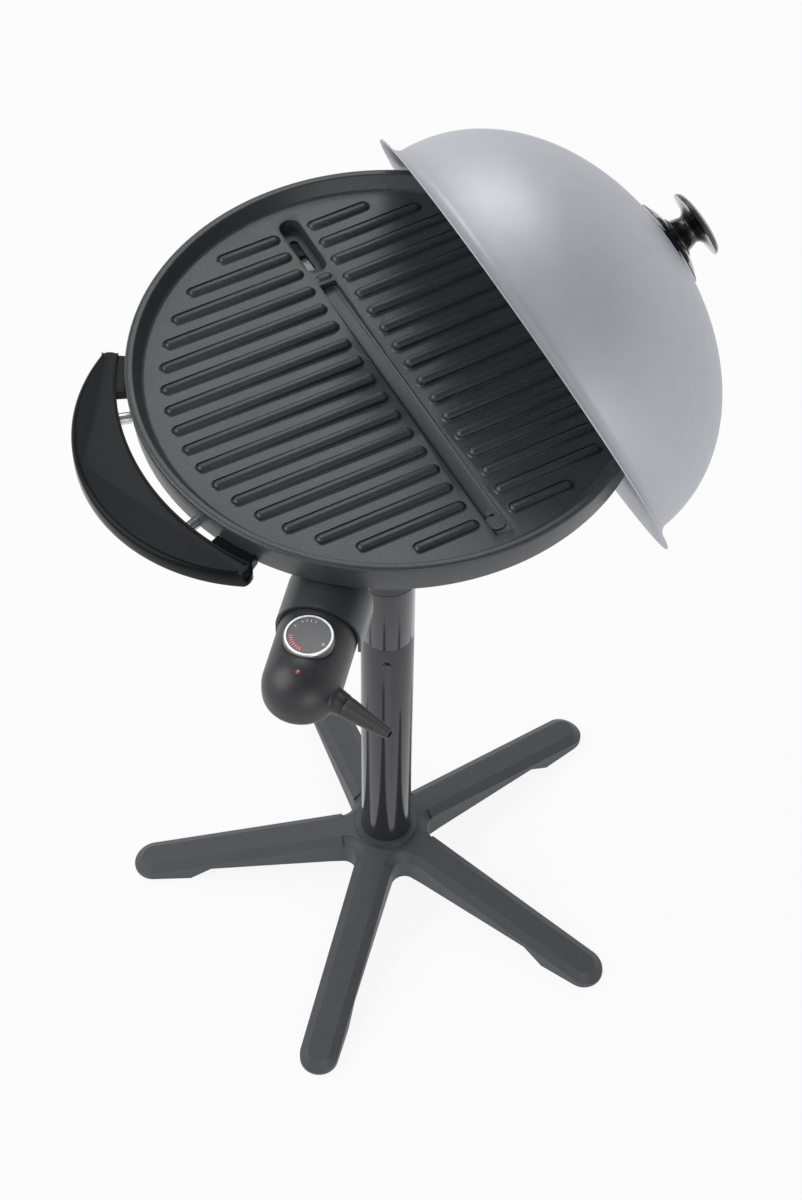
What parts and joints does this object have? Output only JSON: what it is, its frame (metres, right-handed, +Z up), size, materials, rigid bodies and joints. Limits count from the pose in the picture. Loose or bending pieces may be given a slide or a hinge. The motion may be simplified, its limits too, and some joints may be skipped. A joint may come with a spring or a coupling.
{
  "type": "electric indoor grill with lid",
  "caption": "Round electric grill plate on a star-foot pedestal, with side handles, a plug-in thermostat and a domed lid hung on the far handle.",
  "frame": {"origin": "the column's axis at the floor", "axes": "+Z up along the column, +X to the handle that carries the hung lid, the plate's drip channel along Y with its front end at -Y"},
  "size_m": [0.587, 0.5542, 0.9438],
  "materials": {
    "leg_plastic": "fine grained matt dark grey",
    "black_rubber": "matt",
    "zinc_steel": "zinc plated",
    "column_paint": "high gloss dark grey paint",
    "black_plastic": "satin black",
    "bowl_steel": "aluminised sheet",
    "plate_coating": "satin charcoal non-stick coating",
    "element_steel": "dull steel",
    "ceramic": "moulded insulator, matt ivory",
    "shroud_plastic": "satin dark grey",
    "handle_plastic": "gloss black",
    "plug_plastic": "satin black",
    "contact_brass": "plain",
    "lamp_red": "clear red",
    "dial_plastic": "grey face with a bright rim",
    "lid_metal": "satin silver",
    "knob_plastic": "gloss black"
  },
  "bodies": {
    "stand": {"base_star": "leg_plastic", "foot_pads": "black_rubber", "column_plug": "zinc_steel", "base_bolt": "zinc_steel", "base_washer": "zinc_steel", "column_lower": "column_paint", "column_upper": "column_paint", "trim_ring": "black_plastic", "head_socket": "black_plastic", "support_bowl": "bowl_steel", "bowl_screws": "zinc_steel", "tray_rails": "bowl_steel", "rail_rivets": "zinc_steel"},
    "height_button": {"snap_button": "zinc_steel", "button_leaf": "zinc_steel"},
    "plate": {"grill_plate": "plate_coating", "heating_element": "element_steel", "terminal_block": "ceramic", "terminal_pins": "zinc_steel", "terminal_screws": "zinc_steel", "socket_shroud": "shroud_plastic", "handle_left": "handle_plastic", "handle_right": "handle_plastic", "handle_spacers": "zinc_steel", "handle_bolts": "zinc_steel"},
    "tray": {"drip_tray": "bowl_steel"},
    "plug": {"plug_upper_shell": "plug_plastic", "plug_lower_shell": "plug_plastic", "plug_screws": "zinc_steel", "thermostat": "ceramic", "contact_sleeves": "contact_brass", "probe_rod": "element_steel", "pilot_lamp": "lamp_red", "strain_relief": "black_rubber"},
    "dial": {"dial": "dial_plastic", "dial_spindle": "zinc_steel"},
    "lid": {"lid_dome": "lid_metal", "guard_disc": "knob_plastic", "lid_knob": "knob_plastic", "knob_screw": "zinc_steel", "knob_washer": "zinc_steel", "lid_hook": "zinc_steel"}
  },
  "joints": [
    {"name": "button_press", "type": "slide", "parent": "stand", "child": "height_button", "axis": [0.5, 0.866, 0], "range_m": [0, 0.004], "stiffness_N_per_m": 600, "springref_m": -0.002},
    {"name": "plate_lift", "type": "slide", "parent": "stand", "child": "plate", "axis": [0, 0, 1], "range_m": [0, 0.12]},
    {"name": "tray_pull", "type": "slide", "parent": "stand", "child": "tray", "axis": [0, 1, 0], "range_m": [0, 0.15]},
    {"name": "plug_pull", "type": "slide", "parent": "plate", "child": "plug", "axis": [-0.6691, -0.7431, 0], "range_m": [0, 0.12]},
    {"name": "dial_turn", "type": "hinge", "parent": "plug", "child": "dial", "pos_m": [-0.17765, -0.1973, 0.76], "axis": [0, 0, 1], "range_deg": [0, 270]},
    {"name": "lid_lift", "type": "slide", "parent": "plate", "child": "lid", "axis": [0.5, 0, 0.866], "range_m": [0, 0.35]}
  ]
}
